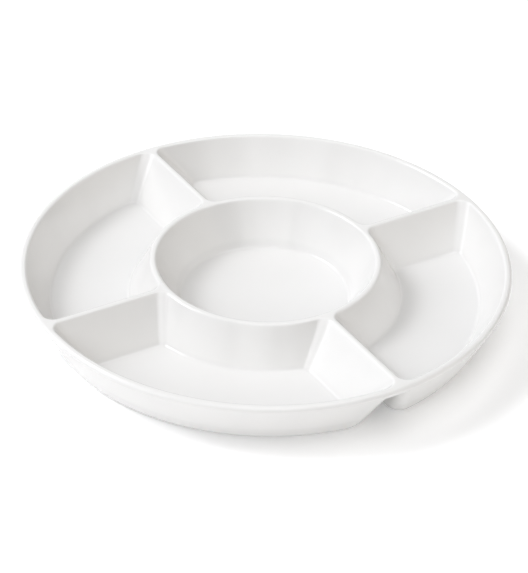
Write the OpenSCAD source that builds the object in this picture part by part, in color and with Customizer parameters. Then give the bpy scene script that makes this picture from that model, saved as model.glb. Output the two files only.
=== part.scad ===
// Round divided serving bowl, moulded in one piece:
// a centre well, a ring round it, and four outer wells between four hollow dividers.
// The origin is at the middle of the base, on the surface that the bowl stands on.
// The front well faces -Y and the right well faces +X.

/* [Overall] */
// Diameter over the rim
rim_d = 300; // [270:5:340]
// Height from the table to the top of the rim
total_h = 34; // [28:0.5:44]

/* [Lips] */
// Width of the rim's lip
rim_lip_w = 5; // [3.4:0.2:6]
// Width of the lip of the centre ring
ring_lip_w = 5; // [2.6:0.2:6]
// Width of the top of each divider
divider_lip_w = 5; // [2.4:0.2:6]
// Width of the flat that is left on top of every lip
lip_flat_w = 0.8; // [0.4:0.1:1.4]
// How far the ring and the dividers stay below the rim
divider_drop = 0.1; // [0:0.1:1.2]
// Depth of the lip band, from the rim's top to the top of the well shells
lip_band_h = 4.5; // [3.8:0.1:6]
// How far the outer wall starts inside the rim's edge
lip_overhang = 0.9; // [0.3:0.1:1.5]

/* [Wells] */
// Diameter of the middle of the centre ring
ring_d = 137.8; // [120:0.2:156]
// Height of the outer wells' floors above the table
well_lift = 9.6; // [8:0.1:13]
// Height of the centre well's floor above the table
centre_lift = 6.7; // [6.2:0.1:11]
// Angle between the dividers at the front and back wells, in degrees
wide_sweep = 91.5; // [84:0.5:96]
// Lean of the round walls inside the wells, in degrees
wall_draft = 29.5; // [26:0.5:34]
// Lean of the dividers' faces, in degrees
divider_draft = 38.5; // [30:0.5:42]
// Corner radius of the wells at the lips, seen from above
corner_top_r = 7; // [5:0.5:9]
// Corner radius of the wells at the floor
corner_floor_r = 5; // [4:0.5:7]
// Radius between the walls and the floors
floor_r = 2.6; // [1.4:0.2:3.6]

/* [Shell] */
// Thickness of the floors
floor_t = 4.2; // [3:0.1:5.5]
// Lean of the outer wall, and of the shells below the ring, in degrees
outer_draft = 26.6; // [20:0.2:30]
// Width of the channels below the ring and the dividers, at their tops
channel_w = 1.2; // [0.6:0.1:2]
// How far a shell's full end stands from the divider's middle line at the table
full_end_gap = 4; // [2.5:0.25:7]
// The same at the shell's other end, which is drawn in further
drawn_end_gap = 8.8; // [6:0.2:11]
// Corner radius of the full ends below the rim, seen from above
full_top_r = 4; // [3:0.5:8]
// Corner radius of the full ends at the table
full_foot_r = 8.6; // [8:0.2:12]
// Corner radius of the drawn-in ends below the rim
drawn_top_r = 11.5; // [8:0.5:13]
// Corner radius of the drawn-in ends at the table
drawn_foot_r = 14.6; // [11:0.2:18]
// Corner radius of the shells at the table, on the ring side
inner_foot_r = 13; // [12:0.5:15]
// Radius between the outer walls and the feet
foot_r = 8.6; // [5:0.2:9]
// Width of the feet that the bowl stands on
foot_w = 4.5; // [3:0.5:5.5]

/* [Hidden] */
$fn = 96;
glaze = [0.97, 0.965, 0.955];

// Steps round the arcs of the well shells and the dividers
arc_steps = 22;
corner_steps = 6;
edge_steps = 4;
round_steps = 4;
arch_steps = 5;

// Heights
band_z = total_h - lip_band_h;
divider_top = total_h - divider_drop;
well_under_z = well_lift - floor_t;
centre_under_z = centre_lift - floor_t;

// Middle lines of the lips, and the radii of their round edges
rim_c = rim_d / 2 - rim_lip_w / 2;
ring_c = ring_d / 2;
rim_edge_r = (rim_lip_w - lip_flat_w) / 2;
ring_edge_r = (ring_lip_w - lip_flat_w) / 2;
divider_edge_r = (divider_lip_w - lip_flat_w) / 2;
rim_edge_z = total_h - rim_edge_r;
ring_edge_z = divider_top - ring_edge_r;
divider_edge_z = divider_top - divider_edge_r;

// Angle at which the rim's round edge ends below, and the lean of the walls inside the feet
lip_under_angle = 35;
recess_draft = 15;

// Smallest corner radius that is left where corners are drawn in
corner_min_r = 0.8;

// How far past a face each cut runs
overrun = 1;

// The narrow wells fill what the wide ones leave
narrow_sweep = 180 - wide_sweep;

// Distance from the middle line of a lip to its side, at height z
function lip_side(z, edge_r, edge_z, draft) =
    lip_flat_w / 2 + (z > edge_z + edge_r * sin(draft)
        ? sqrt(max(0, edge_r * edge_r - (z - edge_z) * (z - edge_z)))
        : edge_r / cos(draft) + (edge_z - z) * tan(draft));

// How far a round edge draws a sloping wall in, at height h above the flat that it runs into
function round_in(h, r, draft) =
    h >= r * (1 - sin(draft)) ? 0
        : r / cos(draft) - (r - h) * tan(draft) - sqrt(r * r - (r - h) * (r - h));

function blend(a, b, share) = a + (b - a) * share;

// Sides of the wells' insides at height z, measured at the rim, the ring and the dividers
function rim_side(z) = lip_side(z, rim_edge_r, rim_edge_z, wall_draft);
function ring_side(z) = lip_side(z, ring_edge_r, ring_edge_z, wall_draft);
function divider_side(z) = lip_side(z, divider_edge_r, divider_edge_z, divider_draft);

// Corner radius of a well's inside at height z, wider again where the lips round off
function corner_r(z) =
    blend(corner_floor_r, corner_top_r, (z - well_lift) / (divider_top - well_lift))
    + max(0, divider_side(divider_edge_z + divider_edge_r * sin(divider_draft)) - divider_side(z));

// Sides of a shell's outside at height z
function shell_outer(z) = rim_d / 2 - lip_overhang - (band_z - z) * tan(outer_draft);
function shell_inner(z) = ring_c + channel_w / 2 + (band_z - z) * tan(outer_draft);

// Distance of a shell's end from the divider's middle line: the channel between two shells is an arch
function shell_side(z, gap) = channel_w / 2 + (gap - channel_w / 2) * sqrt(max(0, 1 - z / band_z));

function arc(c, r, from, to, steps) =
    [for (i = [0:steps]) c + r * [cos(from + (to - from) * i / steps), sin(from + (to - from) * i / steps)]];

// Outline of a well that faces +X, with round corners. Where a value differs at the two ends,
// it is a pair, with the end at -Y first: distance from the divider's middle line, corner radii.
function well_outline(ro, ri, d, half, fo, fi) =
    let (
        ao = [for (k = [0, 1]) half - asin((d[k] + fo[k]) / (ro - fo[k]))],
        ai = [for (k = [0, 1]) half - asin((d[k] + fi[k]) / (ri + fi[k]))],
        co = [for (k = [0, 1]) (ro - fo[k]) * [cos(ao[k]), (2 * k - 1) * sin(ao[k])]],
        ci = [for (k = [0, 1]) (ri + fi[k]) * [cos(ai[k]), (2 * k - 1) * sin(ai[k])]]
    )
    concat(
        arc([0, 0], ro, -ao[0], ao[1], arc_steps),
        [for (i = [1:corner_steps]) arc(co[1], fo[1], ao[1], half + 90, corner_steps)[i]],
        arc(ci[1], fi[1], half + 90, ai[1] + 180, corner_steps),
        [for (i = [1:arc_steps]) arc([0, 0], ri, ai[1], -ai[0], arc_steps)[i]],
        [for (i = [1:corner_steps]) arc(ci[0], fi[0], 180 - ai[0], 270 - half, corner_steps)[i]],
        [for (i = [0:corner_steps - 1]) arc(co[0], fo[0], 270 - half, 360 - ao[0], corner_steps)[i]]
    );

// The flat inside such an outline, as faces that join its outer arc to its inner arc
well_cap = [for (i = [-corner_steps:arc_steps + corner_steps - 1])
    let (n = 2 * arc_steps + 4 * corner_steps + 2, j = 2 * (arc_steps + corner_steps) + 1 - i)
    [(i + n) % n, (i + 1 + n) % n, j - 1, j]];

function lift(outline, z) = [for (p = outline) [p[0], p[1], z]];

// Inside of a well at height z
function inside_ring(z, half) =
    let (
        h = z - well_lift,
        wall_in = round_in(h, floor_r, wall_draft),
        face_in = round_in(h, floor_r, divider_draft),
        r = max(corner_min_r, corner_r(z) - wall_in)
    )
    lift(well_outline(rim_c - rim_side(z) - wall_in, ring_c + ring_side(z) + wall_in,
        [1, 1] * (divider_side(z) + face_in), half, [r, r], [r, r]), z);

// Outside of a shell at height z, drawn in by a further distance
function outside_ring(z, half, inset) =
    let (
        share = z / band_z,
        wall_in = round_in(z, foot_r, outer_draft) + inset,
        side = [for (gap = [full_end_gap, drawn_end_gap])
            shell_side(z, gap) + inset + round_in(z, foot_r, atan((gap - channel_w / 2) / band_z))],
        full = blend(full_foot_r, full_top_r, share),
        drawn = blend(drawn_foot_r, drawn_top_r, share),
        fi = max(corner_min_r, blend(inner_foot_r, corner_top_r, share) - wall_in)
    )
    lift(well_outline(shell_outer(z) - wall_in, shell_inner(z) + wall_in, side, half,
        [for (r = [full, drawn]) max(corner_min_r, r - wall_in)], [fi, fi]), z);

// Heights of the steps round an edge of radius r that starts at height z
function edge_heights(z, r, draft) =
    [for (i = [0:round_steps]) z + r * (1 - cos((90 - draft) * i / round_steps))];

// Faces of a stack of rings, with the flats that close its first and its last ring
function stack_faces(rings, cap) =
    let (n = len(rings[0]), last = len(rings) - 1)
    concat(
        cap,
        [for (k = [0:last - 1], i = [0:n - 1], first = [true, false])
            let (a = k * n + i, b = k * n + (i + 1) % n)
            first ? [a, a + n, b + n] : [a, b + n, b]],
        [for (face = cap) [for (i = [len(face) - 1:-1:0]) last * n + face[i]]]
    );

module stack(rings, cap) {
    polyhedron([for (ring = rings, p = ring) p], stack_faces(rings, cap), 4);
}

// Wall of the hollow inside a foot at height z
function recess_ring(z, half) =
    lift(outside_ring(0, half, foot_w + z * tan(recess_draft)), z);

// One outer well: its floor, its walls up to the lip band, and the foot that it stands on
module well(azimuth, sweep) {
    half = sweep / 2;
    foot_heights = edge_heights(0, foot_r, outer_draft);
    wall_h = band_z - foot_heights[round_steps];
    floor_heights = edge_heights(well_lift, floor_r, wall_draft);
    rotate([0, 0, azimuth])
        stack(concat(
            [recess_ring(well_under_z, half), recess_ring(0, half)],
            [for (z = foot_heights) outside_ring(z, half, 0)],
            [for (i = [arch_steps - 1:-1:0]) outside_ring(band_z - wall_h * pow(i / arch_steps, 2), half, 0)],
            [inside_ring(band_z, half)],
            [for (i = [round_steps:-1:0]) inside_ring(floor_heights[i], half)]
        ), well_cap);
}

// Outline of a divider's top that runs along +X, at height z: it flares into the ring and the rim
function divider_outline(z) =
    let (
        ro = rim_c - rim_side(z),
        ri = ring_c + ring_side(z),
        d = divider_side(z),
        r = corner_r(z),
        ao = asin((d + r) / (ro - r)),
        ai = asin((d + r) / (ri + r)),
        co = (ro - r) * [cos(ao), sin(ao)],
        ci = (ri + r) * [cos(ai), sin(ai)],
        steps = 2 * corner_steps
    )
    concat(
        arc([0, 0], ro, -ao, ao, steps),
        [for (i = [1:corner_steps]) arc(co, r, ao, -90, corner_steps)[i]],
        arc(ci, r, -90, ai - 180, corner_steps),
        [for (i = [1:steps]) arc([0, 0], ri, ai, -ai, steps)[i]],
        [for (i = [1:corner_steps]) arc([ci[0], -ci[1]], r, 180 - ai, 90, corner_steps)[i]],
        [for (i = [0:corner_steps - 1]) arc([co[0], -co[1]], r, 90, -ao, corner_steps)[i]]
    );

// The flat inside such an outline: its four flares at +Y and -Y, and the strip between them
function divider_cap() =
    let (
        c = corner_steps,
        n = 8 * c + 2,
        flares = concat(
            [for (i = [0:c - 2]) [c + i, c + i + 1, 3 * c - i - 1]],
            [for (i = [0:c - 2]) [c + i, 3 * c - i - 1, 3 * c - i]],
            [[2 * c - 1, 2 * c, 2 * c + 1]],
            [for (i = [0:c - 2]) [3 * c + 1 + i, 3 * c + 2 + i, 5 * c + 1 - i]],
            [for (i = [0:c - 2]) [3 * c + 2 + i, 5 * c - i, 5 * c + 1 - i]],
            [[4 * c, 4 * c + 1, 4 * c + 2]]
        )
    )
    concat(
        flares,
        [for (face = flares) [for (i = [len(face) - 1:-1:0]) (2 * c - face[i] + n) % n]],
        [[c, 3 * c, 7 * c + 2], [3 * c, 3 * c + 1, 7 * c + 1, 7 * c + 2], [3 * c + 1, 5 * c + 1, 7 * c + 1]]
    );

// One divider's top, from the ring to the rim
module divider(azimuth) {
    turn = [for (i = [0:edge_steps]) blend(divider_draft, 90, i / edge_steps)];
    heights = concat([band_z], [for (a = turn) divider_edge_z + divider_edge_r * sin(a)]);
    rotate([0, 0, azimuth])
        stack([for (z = heights) lift(divider_outline(z), z)], divider_cap());
}

// The rim: a round lip with a short skirt below it
module rim() {
    outer_c = rim_d / 2 - rim_edge_r;
    inner_c = rim_c - lip_flat_w / 2;
    color(glaze)
        rotate_extrude() {
            translate([outer_c, rim_edge_z])
                circle(rim_edge_r);
            translate([inner_c, rim_edge_z])
                circle(rim_edge_r);
            polygon([
                [inner_c, total_h],
                [inner_c - rim_edge_r * cos(wall_draft), rim_edge_z + rim_edge_r * sin(wall_draft)],
                [rim_c - rim_side(band_z), band_z],
                [rim_d / 2 - lip_overhang, band_z],
                [outer_c + rim_edge_r * cos(lip_under_angle), rim_edge_z - rim_edge_r * sin(lip_under_angle)],
                [outer_c, total_h]
            ]);
        }
}

// The ring's lip, between the centre well and the outer wells
module centre_ring() {
    half_flat = lip_flat_w / 2;
    slope = [ring_edge_r * cos(wall_draft), ring_edge_r * sin(wall_draft)];
    color(glaze)
        rotate_extrude() {
            for (side = [-1, 1])
                translate([ring_c + side * half_flat, ring_edge_z])
                    circle(ring_edge_r);
            polygon([
                [ring_c - half_flat, divider_top],
                [ring_c - half_flat - slope[0], ring_edge_z + slope[1]],
                [ring_c - ring_side(band_z), band_z],
                [ring_c + ring_side(band_z), band_z],
                [ring_c + half_flat + slope[0], ring_edge_z + slope[1]],
                [ring_c + half_flat, divider_top]
            ]);
        }
}

// Radii of the centre well's inside and outside at height z
function centre_inside(z) = ring_c - ring_side(z);
function centre_outside(z) = ring_c - channel_w / 2 - (band_z - z) * tan(outer_draft);

// The centre well: a round bowl on its own foot
module centre_well() {
    floor_c = centre_inside(centre_lift + floor_r) - floor_r / cos(wall_draft);
    foot_c = centre_outside(foot_r) - foot_r / cos(outer_draft);
    recess_r = foot_c - foot_w;
    roof_r = recess_r - centre_under_z * tan(recess_draft);
    color(glaze)
        rotate_extrude() {
            difference() {
                polygon([
                    [0, centre_under_z],
                    [roof_r, centre_under_z],
                    [recess_r, 0],
                    [foot_c, 0],
                    [foot_c + foot_r * cos(outer_draft), foot_r * (1 - sin(outer_draft))],
                    [centre_outside(band_z), band_z],
                    [centre_inside(band_z), band_z],
                    [floor_c, centre_lift + floor_r],
                    [0, centre_lift + floor_r]
                ]);
                polygon([
                    [0, centre_lift],
                    [floor_c, centre_lift],
                    [floor_c + floor_r * cos(wall_draft), centre_lift + floor_r * (1 - sin(wall_draft))],
                    [centre_inside(band_z), band_z],
                    [centre_inside(band_z), band_z + overrun],
                    [0, band_z + overrun]
                ]);
                translate([floor_c, centre_lift + floor_r])
                    circle(floor_r);
            }
            intersection() {
                translate([foot_c, foot_r])
                    circle(foot_r);
                translate([foot_c, 0])
                    square([foot_r, foot_r * (1 - sin(outer_draft))]);
            }
        }
}

module front_well() {
    color(glaze)
        well(270, wide_sweep);
}

module right_well() {
    color(glaze)
        well(0, narrow_sweep);
}

module back_well() {
    color(glaze)
        well(90, wide_sweep);
}

module left_well() {
    color(glaze)
        well(180, narrow_sweep);
}

module front_right_divider() {
    color(glaze)
        divider(-narrow_sweep / 2);
}

module back_right_divider() {
    color(glaze)
        divider(narrow_sweep / 2);
}

module back_left_divider() {
    color(glaze)
        divider(180 - narrow_sweep / 2);
}

module front_left_divider() {
    color(glaze)
        divider(180 + narrow_sweep / 2);
}

rim();
centre_ring();
centre_well();
front_well();
right_well();
back_well();
left_well();
front_right_divider();
back_right_divider();
back_left_divider();
front_left_divider();
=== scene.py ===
import bpy
import math
import numpy as np
from mathutils import Matrix, Vector


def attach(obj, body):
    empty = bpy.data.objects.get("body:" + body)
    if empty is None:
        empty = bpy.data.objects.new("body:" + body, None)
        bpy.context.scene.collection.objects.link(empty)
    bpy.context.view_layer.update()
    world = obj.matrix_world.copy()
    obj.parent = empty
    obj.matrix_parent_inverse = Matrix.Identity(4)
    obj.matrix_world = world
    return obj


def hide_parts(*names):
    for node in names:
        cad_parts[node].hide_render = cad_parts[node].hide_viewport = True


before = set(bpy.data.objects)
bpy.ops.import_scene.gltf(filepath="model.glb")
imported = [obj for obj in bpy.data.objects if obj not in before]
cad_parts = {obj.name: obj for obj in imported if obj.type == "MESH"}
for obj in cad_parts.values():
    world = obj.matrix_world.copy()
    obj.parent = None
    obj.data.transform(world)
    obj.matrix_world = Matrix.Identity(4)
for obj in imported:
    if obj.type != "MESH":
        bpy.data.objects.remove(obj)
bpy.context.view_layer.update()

# Shapes are worked out in millimetres and degrees and put down in metres.
# Sizes that the whole moulding shares
moulding = {
    "rimDiameter": 300.0,
    "height": 34.0,
    "bandHeight": 4.5,      # from the rim's top to the plane where lips and shells meet
    "ringDiameter": 137.8,  # middle of the lip round the centre well
    "wideSweep": 91.5,      # angle that the front and back wells take up
    "wallDraft": 29.5,      # lean of the wells' walls, from upright
    "outerDraft": 26.6,     # lean of the shells' outer walls
    "channelWidth": 1.2,    # between two shells, where they meet the lips
    "leastCorner": 0.8,     # no corner of a well or shell is tighter
    "turnedSteps": 360,     # faces round a turned piece
    "sharpAngle": 38.0,     # edges sharper than this aren't shaded as rounds
}
topZ = moulding["height"]
bandZ = topZ - moulding["bandHeight"]
rimRadius = moulding["rimDiameter"] / 2
ringMid = moulding["ringDiameter"] / 2
narrowSweep = 180 - moulding["wideSweep"]
wallDraft, outerDraft = moulding["wallDraft"], moulding["outerDraft"]


def tanOf(a): return math.tan(math.radians(a))
def sinOf(a): return math.sin(math.radians(a))
def cosOf(a): return math.cos(math.radians(a))


def between(a, b, share):
    return a + (b - a) * share


def roundIn(h, r, draft):
    # how far a round foot draws a leaning wall in, at height h above the flat
    if h >= r * (1 - sinOf(draft)):
        return 0.0
    return r / cosOf(draft) - (r - h) * tanOf(draft) - math.sqrt(max(0.0, r * r - (r - h) ** 2))


def roundHeights(r, draft, steps):
    # heights above the flat, evenly spread round such a foot, from the flat up to the wall
    return [r * (1 - cosOf((90 - draft) * i / steps)) for i in range(steps + 1)]


def arc(c, r, start, end, steps):
    t = np.radians(np.linspace(start, end, steps + 1))
    return np.stack([c[0] + r * np.cos(t), c[1] + r * np.sin(t)], 1)


def lift(outline, z):
    return np.column_stack([outline, np.full(len(outline), z)])


def putDown(name, points, faces, material):
    mesh = bpy.data.meshes.new(name)
    mesh.from_pydata([tuple(p) for p in points / 1000], [], faces)
    mesh.validate()
    for p in mesh.polygons:
        p.use_smooth = True
    mesh.set_sharp_from_angle(angle=math.radians(moulding["sharpAngle"]))
    piece = bpy.data.objects.new("glazed_" + name, mesh)
    bpy.context.scene.collection.objects.link(piece)
    mesh.materials.append(material)
    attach(piece, "root")
    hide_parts(name)


def stacked(name, rings, cap, turn, material):
    # a closed skin from a stack of rings with as many points each; cap holds the lower end's faces
    n = len(rings[0])
    points = np.concatenate(rings)
    x, y = points[:, 0].copy(), points[:, 1].copy()
    points[:, 0] = x * cosOf(turn) - y * sinOf(turn)
    points[:, 1] = x * sinOf(turn) + y * cosOf(turn)
    faces = list(cap)
    for k in range(len(rings) - 1):
        for i in range(n):
            j = (i + 1) % n
            faces.append((k * n + i, k * n + j, (k + 1) * n + j, (k + 1) * n + i))
    last = (len(rings) - 1) * n
    faces += [tuple(last + i for i in reversed(f)) for f in cap]
    putDown(name, points, faces, material)


def turned(name, profile, material):
    # a turned piece from a closed line of (radius, height); a point on the axis stays one point
    profile = np.array(profile, float)
    steps, count = moulding["turnedSteps"], len(profile)
    onAxis = profile[:, 0] == 0
    angles = [360 * i / steps for i in range(steps)]
    points, index = [], []
    for (r, z), single in zip(profile, onAxis):
        if single:
            index.append([len(points)] * steps)
            points.append((0.0, 0.0, z))
        else:
            index.append(list(range(len(points), len(points) + steps)))
            points += [(r * cosOf(a), r * sinOf(a), z) for a in angles]
    faces = []
    for k in range(count):
        m = (k + 1) % count
        if onAxis[k] and onAxis[m]:
            continue
        a, b = index[k], index[m]
        for i in range(steps):
            j = (i + 1) % steps
            faces.append(tuple(dict.fromkeys((a[i], a[j], b[j], b[i]))))
    putDown(name, np.array(points), faces, material)


def newGroup(name, inputs, outputs):
    group = bpy.data.node_groups.new(name, "ShaderNodeTree")
    for label, value in inputs.items():
        kind = "NodeSocketColor" if isinstance(value, tuple) else "NodeSocketFloat"
        socket = group.interface.new_socket(name=label, in_out="INPUT", socket_type=kind)
        socket.default_value = value
    for label, kind in outputs.items():
        group.interface.new_socket(name=label, in_out="OUTPUT", socket_type=kind)
    return group, group.nodes.new("NodeGroupInput"), group.nodes.new("NodeGroupOutput")


def feed(tree, socket, value):
    # a number or colour is set on the socket, and another node's output is linked to it
    if isinstance(value, (int, float, tuple)):
        socket.default_value = value
    else:
        tree.links.new(value, socket)


def mathNode(tree, operation, a, b):
    node = tree.nodes.new("ShaderNodeMath")
    node.operation = operation
    feed(tree, node.inputs[0], a)
    feed(tree, node.inputs[1], b)
    return node.outputs[0]


def times(tree, a, b): return mathNode(tree, "MULTIPLY", a, b)
def plus(tree, a, b): return mathNode(tree, "ADD", a, b)
def minus(tree, a, b): return mathNode(tree, "SUBTRACT", a, b)


def mixColour(tree, factor, a, b):
    node = tree.nodes.new("ShaderNodeMix")
    node.data_type = "RGBA"
    for k, value in ((0, factor), (6, a), (7, b)):  # the sockets of a colour mix
        feed(tree, node.inputs[k], value)
    return node.outputs[2]


def noiseNode(tree, where, scale, detail, rough=0.5):
    node = tree.nodes.new("ShaderNodeTexNoise")
    feed(tree, node.inputs["Vector"], where)
    feed(tree, node.inputs["Scale"], scale)
    feed(tree, node.inputs["Detail"], detail)
    feed(tree, node.inputs["Roughness"], rough)
    return node.outputs["Fac"]


def stepNode(tree, value, band):
    # 0 up to the band's first value and 1 from its second, with soft ends
    node = tree.nodes.new("ShaderNodeMapRange")
    node.interpolation_type = "SMOOTHSTEP"
    feed(tree, node.inputs["Value"], value)
    feed(tree, node.inputs["From Min"], band[0])
    feed(tree, node.inputs["From Max"], band[1])
    return node.outputs["Result"]


# The glaze's colours and gloss, which are also the inputs of its group; scales are per metre
glazeFinish = {
    "Glaze": (0.815, 0.809, 0.797, 1),
    # painted highlight: a lighter colour painted on the lips' tops for the sheen on them
    "Lip Highlight Paint": (0.822, 0.818, 0.806, 1),
    "Pooled Glaze": (0.758, 0.754, 0.745, 1),
    "Bare Clay": (0.78, 0.755, 0.71, 1),
    "Speck": (0.62, 0.59, 0.54, 1),
    "Cloudiness": 0.3,
    "Cloud Scale": 28.0,
    "Ripple Scale": 90.0,
    "Peel Scale": 700.0,
    "Gloss Low": 0.155,
    "Gloss High": 0.19,
}
# Where its effects show and how strongly; heights above the table and depths are in metres
glazeEffects = {
    "cloudBand": (0.38, 0.72),
    "lipHighlightBand": (0.0318, 0.0336),   # the painted highlight on the lips fades in between these heights
    "poolBand": (0.0130, 0.0100),  # the glaze gathers between these
    "poolStrength": 0.5,
    "edgeWander": 0.0022,          # how far both bands wander up and down
    "speckScale": 130.0,
    "speckFrom": 0.955,            # cells with a value over this hold a speck
    "speckBand": (0.035, 0.015),   # from a speck's rim to its full colour, in cells
    "speckStrength": 0.45,
    "footBand": (0.00035, 0.0001),
    "footWander": 0.0004,
    "grainScale": 1500.0,
    "smearScale": 45.0,
    "smearBand": (0.35, 0.7),
    "clayRoughness": 0.6,          # added to the gloss where the clay is bare
    "rippleDepth": 0.00006,
    "peelDepth": 0.0000035,
    "grainDepth": 0.00004,
    "bumpStrength": 0.35,
    "refraction": 1.5,
    "specular": 0.5,
}


def makeGlazeGroup():
    # glaze over white clay: clouds, lips painted lighter as a painted highlight, pooled floors,
    # specks, bare feet and a soft ripple
    effect = glazeEffects
    group, given, out = newGroup("glazeCoat", glazeFinish, {
        "Color": "NodeSocketColor", "Roughness": "NodeSocketFloat", "Height": "NodeSocketFloat",
    })
    links, finish = group.links, given.outputs
    where = group.nodes.new("ShaderNodeTexCoord").outputs["Object"]
    split = group.nodes.new("ShaderNodeSeparateXYZ")
    links.new(where, split.inputs[0])
    height = split.outputs["Z"]
    # clouds where the glaze lies thicker
    cloud = noiseNode(group, where, finish["Cloud Scale"], detail=4.0, rough=0.55)
    cloudMask = times(group, stepNode(group, cloud, effect["cloudBand"]), finish["Cloudiness"])
    colour = mixColour(group, cloudMask, finish["Glaze"], finish["Pooled Glaze"])
    # painted highlight: the lips' tops are painted lighter for the sheen on them; the glaze
    # gathers low in the wells
    wander = minus(group, cloud, 0.5)  # from the noise's middle
    raggedHeight = plus(group, height, times(group, wander, effect["edgeWander"]))
    lipHighlightMask = stepNode(group, raggedHeight, effect["lipHighlightBand"])
    colour = mixColour(group, lipHighlightMask, colour, finish["Lip Highlight Paint"])
    pool = stepNode(group, raggedHeight, effect["poolBand"])
    poolMask = times(group, pool, effect["poolStrength"])
    colour = mixColour(group, poolMask, colour, finish["Pooled Glaze"])
    # rare pin specks, about 0.4 mm across
    cells = group.nodes.new("ShaderNodeTexVoronoi")
    cells.inputs["Scale"].default_value = effect["speckScale"]
    links.new(where, cells.inputs["Vector"])
    pick = group.nodes.new("ShaderNodeSeparateColor")
    links.new(cells.outputs["Color"], pick.inputs[0])
    chosen = mathNode(group, "GREATER_THAN", pick.outputs[0], effect["speckFrom"])
    dot = stepNode(group, cells.outputs["Distance"], effect["speckBand"])
    speckMask = times(group, times(group, chosen, dot), effect["speckStrength"])
    colour = mixColour(group, speckMask, colour, finish["Speck"])
    # bare clay where the feet stand
    grain = noiseNode(group, where, effect["grainScale"], detail=3.0, rough=0.6)
    footHeight = plus(group, height, times(group, wander, effect["footWander"]))
    bare = stepNode(group, footHeight, effect["footBand"])
    colour = mixColour(group, bare, colour, finish["Bare Clay"])
    links.new(colour, out.inputs["Color"])
    # smears and fine wear in the gloss
    smear = noiseNode(group, where, effect["smearScale"], detail=5.0, rough=0.6)
    smearMask = stepNode(group, smear, effect["smearBand"])
    span = minus(group, finish["Gloss High"], finish["Gloss Low"])
    gloss = plus(group, finish["Gloss Low"], times(group, smearMask, span))
    rough = plus(group, gloss, times(group, bare, effect["clayRoughness"]))
    links.new(rough, out.inputs["Roughness"])
    # ripple left by the mould, fine peel of the glaze and grain on the bare clay
    rippleNoise = noiseNode(group, where, finish["Ripple Scale"], detail=2.0)
    ripple = times(group, rippleNoise, effect["rippleDepth"])
    peelNoise = noiseNode(group, where, finish["Peel Scale"], detail=2.0)
    peel = times(group, peelNoise, effect["peelDepth"])
    clay = times(group, times(group, grain, bare), effect["grainDepth"])
    links.new(plus(group, plus(group, ripple, peel), clay), out.inputs["Height"])
    return group


def makeGlaze(group):
    material = bpy.data.materials.new("glossyWhiteGlaze")
    material.use_nodes = True
    tree = material.node_tree
    shader = tree.nodes["Principled BSDF"]
    coat = tree.nodes.new("ShaderNodeGroup")
    coat.node_tree = group
    for label, value in glazeFinish.items():
        coat.inputs[label].default_value = value
    bump = tree.nodes.new("ShaderNodeBump")
    bump.inputs["Strength"].default_value = glazeEffects["bumpStrength"]
    bump.inputs["Distance"].default_value = 1.0  # the group's heights are in metres already
    tree.links.new(coat.outputs["Color"], shader.inputs["Base Color"])
    tree.links.new(coat.outputs["Roughness"], shader.inputs["Roughness"])
    tree.links.new(coat.outputs["Height"], bump.inputs["Height"])
    tree.links.new(bump.outputs["Normal"], shader.inputs["Normal"])
    shader.inputs["IOR"].default_value = glazeEffects["refraction"]
    shader.inputs["Specular IOR Level"].default_value = glazeEffects["specular"]
    return material


glaze = makeGlaze(makeGlazeGroup())
print("glaze ready")

# The lips of the rim, the ring and the dividers
lips = {
    "rimWidth": 5.0,
    "ringWidth": 5.0,
    "dividerWidth": 5.0,
    "flat": 0.8,           # flat that is left on top of every lip
    "overhang": 0.9,       # how far the outer wall starts inside the rim's edge
    "dividerDraft": 38.5,  # lean of the dividers' sides
    "turnSteps": 12,
}
rimEdge = (lips["rimWidth"] - lips["flat"]) / 2
ringEdge = (lips["ringWidth"] - lips["flat"]) / 2
dividerEdge = (lips["dividerWidth"] - lips["flat"]) / 2
rimMid = rimRadius - lips["rimWidth"] / 2
dividerDraft = lips["dividerDraft"]


def lipSide(z, edge, draft):
    # distance from a lip's middle line to its side at height z
    edgeZ = topZ - edge
    if z > edgeZ + edge * sinOf(draft):
        return lips["flat"] / 2 + math.sqrt(max(0.0, edge * edge - (z - edgeZ) ** 2))
    return lips["flat"] / 2 + edge / cosOf(draft) + (edgeZ - z) * tanOf(draft)


def rimSide(z): return lipSide(z, rimEdge, wallDraft)
def ringSide(z): return lipSide(z, ringEdge, wallDraft)
def dividerSide(z): return lipSide(z, dividerEdge, dividerDraft)


def makeRim():
    outerMid, innerMid, edgeZ = rimRadius - rimEdge, rimMid - lips["flat"] / 2, topZ - rimEdge
    underEdge, steps = rimRadius - lips["overhang"], lips["turnSteps"]
    # the outer wall runs on into the lip: its round starts where the leaning wall touches it
    lowMid = bandZ + (rimEdge - (underEdge - outerMid) * cosOf(outerDraft)) / sinOf(outerDraft)
    turned("rim", [
        (rimMid - rimSide(bandZ), bandZ), (underEdge, bandZ),
        *arc((outerMid, lowMid), rimEdge, -outerDraft, 0, steps),
        *arc((outerMid, edgeZ), rimEdge, 0, 90, 2 * steps),
        *arc((innerMid, edgeZ), rimEdge, 90, 180 - wallDraft, 2 * steps),
    ], glaze)


def makeRing():
    half, edgeZ, steps = lips["flat"] / 2, topZ - ringEdge, 2 * lips["turnSteps"]
    turned("centre_ring", [
        (ringMid - ringSide(bandZ), bandZ), (ringMid + ringSide(bandZ), bandZ),
        *arc((ringMid + half, edgeZ), ringEdge, wallDraft, 90, steps),
        *arc((ringMid - half, edgeZ), ringEdge, 90, 180 - wallDraft, steps),
    ], glaze)


makeRim()
makeRing()
print("lips ready")

# The outer wells, inside
wells = {
    "floorLift": 9.6,    # height of the floors above the table
    "cornerTop": 7.0,    # corner radius at the lips
    "cornerFloor": 5.0,  # and at the floor
    "floorRound": 2.6,   # round between floor and walls
    "arcSteps": 72,
    "cornerSteps": 16,
    "roundSteps": 10,
    "wallSteps": 6,
}
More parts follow.
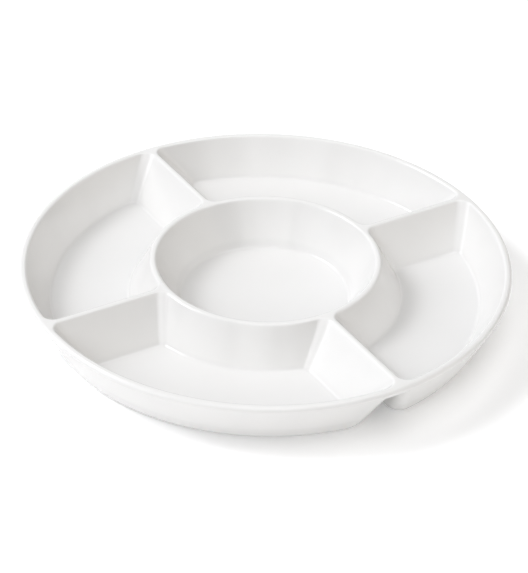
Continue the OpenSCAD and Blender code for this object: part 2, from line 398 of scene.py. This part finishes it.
# The outer wells' shells, underneath
shells = {
    "floorThickness": 4.2,
    "fullGap": 4.0,       # a shell's clockwise end, from the divider's middle line at the table
    "drawnGap": 8.8,      # its other end, drawn in further
    "fullTop": 4.0,       # corner radii of these ends, at the lips and at the foot
    "fullFoot": 8.6,
    "drawnTop": 11.5,
    "drawnFoot": 14.6,
    "innerFoot": 13.0,    # corner radius at the foot, beside the ring
    "footRound": 8.6,
    "footWidth": 4.5,
    "footEdge": 0.9,      # small rounds on the inner edge of a foot
    "footSteps": 8,
    "recessDraft": 15.0,
    "recessRound": 1.6,
    "notchRound": 2.0,    # round between the shell's corner and the lip above it
    "notchShare": 0.25,   # most of the corner's radius that this round takes up
    "archSteps": 16,
}
outerWells = {  # azimuth that it faces, angle that it takes up
    "front_well": (270, moulding["wideSweep"]),
    "right_well": (0, narrowSweep),
    "back_well": (90, moulding["wideSweep"]),
    "left_well": (180, narrowSweep),
}


def cornerR(z):
    # a well's corner radius at height z, which grows with the rounding of the dividers' lips
    share = (z - wells["floorLift"]) / (topZ - wells["floorLift"])
    start = dividerSide(topZ - dividerEdge + dividerEdge * sinOf(dividerDraft))
    opening = max(0.0, start - dividerSide(z))
    return between(wells["cornerFloor"], wells["cornerTop"], share) + opening


def wellOutline(ro, ri, d, half, fo, fi):
    # outline of a well that faces +X, from its outer and inner radius, the distances of its ends
    # from the dividers' middle lines, half its angle, and its outer and inner corners' radii;
    # pairs hold the value at its -Y end first
    n, c = wells["arcSteps"], wells["cornerSteps"]
    ao = [half - math.degrees(math.asin((d[k] + fo[k]) / (ro - fo[k]))) for k in (0, 1)]
    ai = [half - math.degrees(math.asin((d[k] + fi[k]) / (ri + fi[k]))) for k in (0, 1)]
    co, ci = [], []
    for k, side in ((0, -1), (1, 1)):
        co.append(((ro - fo[k]) * cosOf(ao[k]), side * (ro - fo[k]) * sinOf(ao[k])))
        ci.append(((ri + fi[k]) * cosOf(ai[k]), side * (ri + fi[k]) * sinOf(ai[k])))
    return np.concatenate([
        arc((0, 0), ro, -ao[0], ao[1], n),
        arc(co[1], fo[1], ao[1], half + 90, c)[1:],
        arc(ci[1], fi[1], half + 90, ai[1] + 180, c),
        arc((0, 0), ri, ai[1], -ai[0], n)[1:],
        arc(ci[0], fi[0], 180 - ai[0], 270 - half, c)[1:],
        arc(co[0], fo[0], 270 - half, 360 - ao[0], c)[:-1],
    ])


def wellCap():
    # four-sided faces across the outline, from its outer side to its inner side
    n, c = wells["arcSteps"], wells["cornerSteps"]
    count = 2 * n + 4 * c + 2
    faces = []
    for i in range(-c, n + c):
        j = 2 * (n + c) + 1 - i
        faces.append((j, j - 1, (i + 1 + count) % count, (i + count) % count))
    return faces


def insideRing(z, half):
    h, floorR = z - wells["floorLift"], wells["floorRound"]
    wallIn, faceIn = roundIn(h, floorR, wallDraft), roundIn(h, floorR, dividerDraft)
    r = max(moulding["leastCorner"], cornerR(z) - wallIn)
    d = dividerSide(z) + faceIn
    outer, inner = rimMid - rimSide(z) - wallIn, ringMid + ringSide(z) + wallIn
    return lift(wellOutline(outer, inner, (d, d), half, (r, r), (r, r)), z)


def outsideRing(z, half, inset):
    share, least = z / bandZ, moulding["leastCorner"]
    wallIn = roundIn(z, shells["footRound"], outerDraft) + inset
    channel = moulding["channelWidth"] / 2
    side, corner = [], []
    for end in ("full", "drawn"):
        gap, topR, footR = shells[end + "Gap"], shells[end + "Top"], shells[end + "Foot"]
        lean = math.degrees(math.atan((gap - channel) / bandZ))
        # the channel under the divider arches up to its width at the lips
        side.append(channel + (gap - channel) * math.sqrt(max(0.0, 1 - share))
                    + inset + roundIn(z, shells["footRound"], lean))
        # the corner closes in below the lip, which rounds the notch's ceiling
        f = min(shells["notchRound"], shells["notchShare"] * topR)
        rise = min(f, max(0.0, z - (bandZ - f)))
        closing = (f - math.sqrt(f * f - rise * rise)) / (math.sqrt(2) - 1)
        corner.append(max(least, between(footR, topR, share) - closing - wallIn))
    fi = max(least, between(shells["innerFoot"], wells["cornerTop"], share) - wallIn)
    leanOut = (bandZ - z) * tanOf(outerDraft)
    outer = rimRadius - lips["overhang"] - leanOut - wallIn
    inner = ringMid + channel + leanOut + wallIn
    return lift(wellOutline(outer, inner, side, half, corner, (fi, fi)), z)


def footProfile(under):
    # (distance in from the foot's outer edge, height), from the hollow's roof down to the table
    e, draft, r = shells["footEdge"], shells["recessDraft"], shells["recessRound"]
    width, steps = shells["footWidth"], shells["footSteps"]
    line = [(width + (under - h) * tanOf(draft) + roundIn(h, r, draft), under - h)
            for h in roundHeights(r, draft, steps)]
    mid = width - e * (1 - sinOf(draft)) / cosOf(draft)
    return line + list(arc((mid, e), e, -draft, -90, steps))


def makeWell(name, azimuth, sweep):
    half, steps = sweep / 2, wells["roundSteps"]
    floorZ, floorR, footR = wells["floorLift"], wells["floorRound"], shells["footRound"]
    # up the outside: the hollow and the foot, then the shell's wall, finer towards the lips
    rings = [lift(outsideRing(0, half, inset)[:, :2], z)
             for inset, z in footProfile(floorZ - shells["floorThickness"])]
    rings += [outsideRing(h, half, 0) for h in roundHeights(footR, outerDraft, steps)]
    wallHeight, arch = bandZ - footR * (1 - sinOf(outerDraft)), shells["archSteps"]
    rings += [outsideRing(bandZ - wallHeight * (i / arch) ** 2, half, 0)
              for i in reversed(range(arch))]
    # and down the inside: the wall, then the round at the floor
    low, wallSteps = floorZ + floorR * (1 - sinOf(wallDraft)), wells["wallSteps"]
    rings += [insideRing(between(bandZ, low, i / wallSteps), half) for i in range(wallSteps + 1)]
    floorHeights = roundHeights(floorR, wallDraft, steps)[:-1]
    rings += [insideRing(floorZ + h, half) for h in reversed(floorHeights)]
    stacked(name, rings, wellCap(), azimuth, glaze)


for name, (azimuth, sweep) in outerWells.items():
    makeWell(name, azimuth, sweep)
print("outer wells ready")

# The dividers, whose width and draft are with the lips
dividers = {
    "cornerSteps": 16,
    "turnSteps": 14,
}
dividerTurns = {  # azimuth that it runs along
    "front_right_divider": -narrowSweep / 2,
    "back_right_divider": narrowSweep / 2,
    "back_left_divider": 180 - narrowSweep / 2,
    "front_left_divider": 180 + narrowSweep / 2,
}


def dividerOutline(z):
    # outline of a divider that runs along +X, with its flares into the rim and the ring
    ro, ri, d, r = rimMid - rimSide(z), ringMid + ringSide(z), dividerSide(z), cornerR(z)
    ao = math.degrees(math.asin((d + r) / (ro - r)))
    ai = math.degrees(math.asin((d + r) / (ri + r)))
    co = ((ro - r) * cosOf(ao), (ro - r) * sinOf(ao))
    ci = ((ri + r) * cosOf(ai), (ri + r) * sinOf(ai))
    c = dividers["cornerSteps"]
    return np.concatenate([
        arc((0, 0), ro, -ao, ao, 2 * c),
        arc(co, r, ao, -90, c)[1:],
        arc(ci, r, -90, ai - 180, c),
        arc((0, 0), ri, ai, -ai, 2 * c)[1:],
        arc((ci[0], -ci[1]), r, 180 - ai, 90, c)[1:],
        arc((co[0], -co[1]), r, 90, -ao, c)[:-1],
    ])


def dividerCap():
    # triangles fill the flares of one side, mirrored for the other, and three faces fill the rest
    c = dividers["cornerSteps"]
    n = 8 * c + 2
    flares = [(c + i, c + i + 1, 3 * c - i - 1) for i in range(c - 1)]
    flares += [(c + i, 3 * c - i - 1, 3 * c - i) for i in range(c - 1)]
    flares.append((2 * c - 1, 2 * c, 2 * c + 1))
    flares += [(3 * c + 1 + i, 3 * c + 2 + i, 5 * c + 1 - i) for i in range(c - 1)]
    flares += [(3 * c + 2 + i, 5 * c - i, 5 * c + 1 - i) for i in range(c - 1)]
    flares.append((4 * c, 4 * c + 1, 4 * c + 2))
    faces = flares + [tuple((2 * c - i + n) % n for i in reversed(f)) for f in flares]
    faces.append((c, 3 * c, 7 * c + 2))
    faces.append((3 * c, 3 * c + 1, 7 * c + 1, 7 * c + 2))
    faces.append((3 * c + 1, 5 * c + 1, 7 * c + 1))
    return [tuple(reversed(f)) for f in faces]


def makeDivider(name, azimuth):
    edgeZ, steps = topZ - dividerEdge, dividers["turnSteps"]
    heights = [bandZ, (bandZ + edgeZ) / 2]
    heights += [edgeZ + dividerEdge * sinOf(between(dividerDraft, 90, i / steps))
                for i in range(steps + 1)]
    stacked(name, [lift(dividerOutline(z), z) for z in heights], dividerCap(), azimuth, glaze)


for name, azimuth in dividerTurns.items():
    makeDivider(name, azimuth)
print("dividers ready")

# The centre well, whose foot and rounds are those of the outer wells
centreWell = {
    "floorLift": 6.7,  # height of its floor above the table
    "roundSteps": 12,
}


def makeCentreWell():
    floorR, footR, floorZ = wells["floorRound"], shells["footRound"], centreWell["floorLift"]
    under, steps = floorZ - shells["floorThickness"], centreWell["roundSteps"]

    def inside(z): return ringMid - ringSide(z)
    def outside(z): return ringMid - moulding["channelWidth"] / 2 - (bandZ - z) * tanOf(outerDraft)
    floorMid = inside(floorZ + floorR) - floorR / cosOf(wallDraft)
    footMid = outside(footR) - footR / cosOf(outerDraft)
    turned("centre_well", [
        (0.0, under),
        *[(footMid - inset, z) for inset, z in footProfile(under)],
        *arc((footMid, footR), footR, -90, -outerDraft, steps),
        (outside(bandZ), bandZ), (inside(bandZ), bandZ),
        *arc((floorMid, floorZ + floorR), floorR, -wallDraft, -90, steps),
        (0.0, floorZ),
    ], glaze)


makeCentreWell()
print("centre well ready")

# The pale paper that the bowl stands on, in metres
table = {
    "size": 9.0,
    "drop": 0.00005,     # keeps it just clear of the feet
    "colour": (0.93, 0.93, 0.93, 1),
    "fleckGain": 1.01,   # how much lighter its flecks are
    "fleckScale": 600.0,
    "roughness": 0.9,
    "glow": 0.135,
}


def makeFloor():
    half, z = table["size"] / 2, -table["drop"]
    corners = [(-half, -half, z), (half, -half, z), (half, half, z), (-half, half, z)]
    mesh = bpy.data.meshes.new("paleFloor")
    mesh.from_pydata(corners, [], [(0, 1, 2, 3)])
    floor = bpy.data.objects.new("pale_floor", mesh)
    bpy.context.scene.collection.objects.link(floor)
    material = bpy.data.materials.new("palePaper")
    material.use_nodes = True
    tree = material.node_tree
    shader = tree.nodes["Principled BSDF"]
    shader.inputs["Roughness"].default_value = table["roughness"]
    shader.inputs["Specular IOR Level"].default_value = 0.0
    where = tree.nodes.new("ShaderNodeTexCoord").outputs["Object"]
    fleck = noiseNode(tree, where, table["fleckScale"], detail=3.0)
    r, g, b, a = table["colour"]
    gain = table["fleckGain"]
    colour = mixColour(tree, fleck, table["colour"], (r * gain, g * gain, b * gain, a))
    tree.links.new(colour, shader.inputs["Base Color"])
    shader.inputs["Emission Color"].default_value = (1, 1, 1, 1)
    shader.inputs["Emission Strength"].default_value = table["glow"]
    mesh.materials.append(material)


makeFloor()

# Soft studio light: a faint warm surround, a white backdrop and softboxes
studio = {
    "world": 0.045,
    "worldTint": (1.0, 0.92, 0.76, 1),
    "backdrop": 1.0,      # shows behind the floor, and lights nothing
    "lampDistance": 2.0,  # in metres
}
softLights = {  # azimuth that it comes from, elevation, strength, angle across, tint
    "keySoftbox": (186.0, 44.0, 1.0, 18.0, (0.96, 0.97, 1.0)),
    "keySpread": (190.0, 38.0, 0.80, 38.0, (0.96, 0.97, 1.0)),
    "lowSoftboxLeft": (229.5, 18.0, 0.28, 40.0, (0.975, 0.97, 1.0)),
    "frontSoftbox": (273.6, 38.0, 0.70, 40.0, (0.98, 0.988, 1.0)),
    "frontRightSoftbox": (303.6, 38.0, 0.39, 32.0, (0.98, 0.988, 1.0)),
    "topSoftbox": (13.6, 80.0, 0.99, 42.0, (0.978, 0.982, 1.0)),
    "backFill": (133.6, 28.0, 0.60, 60.0, (0.95, 0.97, 1.0)),
    "rightFill": (13.6, 28.0, 0.44, 60.0, (1.0, 0.92, 0.82)),
}


def makeWorld():
    world = bpy.data.worlds.new("whiteStudio")
    bpy.context.scene.world = world
    world.use_nodes = True
    tree = world.node_tree
    shade = tree.nodes["Background"]
    shade.inputs["Color"].default_value = studio["worldTint"]
    shade.inputs["Strength"].default_value = studio["world"]
    seen = tree.nodes.new("ShaderNodeBackground")
    seen.inputs["Color"].default_value = (1, 1, 1, 1)
    seen.inputs["Strength"].default_value = studio["backdrop"]
    path = tree.nodes.new("ShaderNodeLightPath")
    mix = tree.nodes.new("ShaderNodeMixShader")
    tree.links.new(path.outputs["Is Camera Ray"], mix.inputs[0])
    tree.links.new(shade.outputs[0], mix.inputs[1])
    tree.links.new(seen.outputs[0], mix.inputs[2])
    tree.links.new(mix.outputs[0], tree.nodes["World Output"].inputs["Surface"])


def makeSoftLight(name, azimuth, elevation, strength, angle, tint):
    light = bpy.data.lights.new(name, "SUN")
    light.energy = strength
    light.color = tint
    light.angle = math.radians(angle)
    lamp = bpy.data.objects.new(name, light)
    bpy.context.scene.collection.objects.link(lamp)
    level = cosOf(elevation)
    toward = Vector((cosOf(azimuth) * level, sinOf(azimuth) * level, sinOf(elevation)))
    lamp.rotation_euler = toward.to_track_quat("Z", "Y").to_euler()
    lamp.location = toward * studio["lampDistance"]


makeWorld()
for name, values in softLights.items():
    makeSoftLight(name, *values)
bpy.context.scene.view_settings.view_transform = "Standard"
print("floor and light ready")

# The camera at the photo's angle, lengths in millimetres
camera = {
    "azimuth": -76.4, "elevation": 33.95, "roll": 1.38,
    "distance": 1223.5, "aimHeight": 31.9,
    "frameWidth": 528,                # in pixels, as are the next three
    "focal": 2000.0,
    "aimRight": 1.85, "aimUp": 26.7,  # where the aimed point shows, from the frame's middle
    "sensor": 36.0,
    "farClip": 50.0,                  # in metres
}


def makeCamera():
    e, roll, f = camera["elevation"], camera["roll"], camera["focal"]
    back = np.array([0, -cosOf(e), sinOf(e)])
    right, up = np.array([1.0, 0, 0]), np.array([0, sinOf(e), cosOf(e)])
    tilted = cosOf(roll) * right + sinOf(roll) * up
    seen = np.stack([tilted, np.cross(tilted, -back), -back], 1)
    toward = np.array([camera["aimRight"] / f, camera["aimUp"] / f, 1.0])
    toward /= np.linalg.norm(toward)
    side = np.array([1.0, 0, 0]) - toward * toward[0]
    side /= np.linalg.norm(side)
    axes = np.stack([side, np.cross(toward, side), toward], 1) @ seen.T
    turn = Matrix.Rotation(math.radians(camera["azimuth"] + 90), 3, "Z")
    axes = [turn @ Vector(a) for a in (axes[0], axes[1], -axes[2])]
    data = bpy.data.cameras.new("photoCamera")
    data.sensor_fit = "HORIZONTAL"
    data.sensor_width = camera["sensor"]
    data.lens = camera["sensor"] * f / camera["frameWidth"]
    data.clip_end = camera["farClip"]
    cam = bpy.data.objects.new("photoCamera", data)
    bpy.context.scene.collection.objects.link(cam)
    matrix = Matrix([[axes[c][r] for c in range(3)] for r in range(3)]).to_4x4()
    aim = Vector((0, 0, camera["aimHeight"]))
    matrix.translation = (turn @ Vector(back) * camera["distance"] + aim) / 1000
    cam.matrix_world = matrix
    bpy.context.scene.camera = cam


makeCamera()
print("camera ready")
